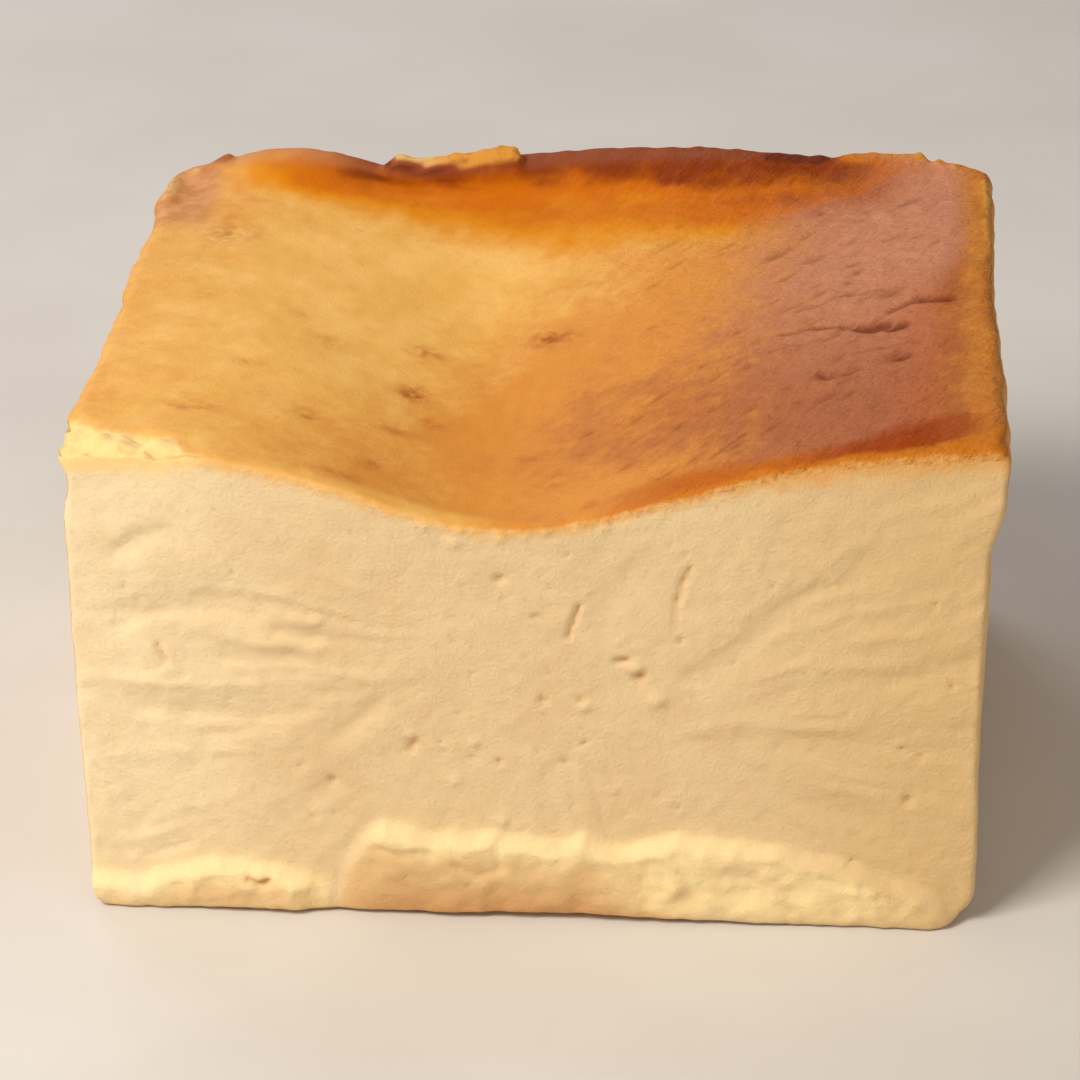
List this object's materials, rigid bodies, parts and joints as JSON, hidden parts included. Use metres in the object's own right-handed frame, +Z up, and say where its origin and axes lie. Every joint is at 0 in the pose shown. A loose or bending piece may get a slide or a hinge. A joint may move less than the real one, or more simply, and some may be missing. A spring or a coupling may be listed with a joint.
{
  "type": "cheesecake",
  "caption": "Half loaf of crustless baked cheesecake: a rectangular block with a sunken browned top, a ridged cut face in front, paper-moulded walls and a flat base to rest on.",
  "frame": {"origin": "centre of the base of the bounding box, on the surface the cake rests on", "axes": "+X to the right along the cut face, -Y out of the cut face, +Z up"},
  "size_m": [0.1142, 0.0994, 0.0669],
  "materials": {
    "cheesecake": "soft moist cream with a satin golden-brown skin on top"
  },
  "bodies": {
    "root": {"cheesecake": "cheesecake"}
  },
  "joints": []
}
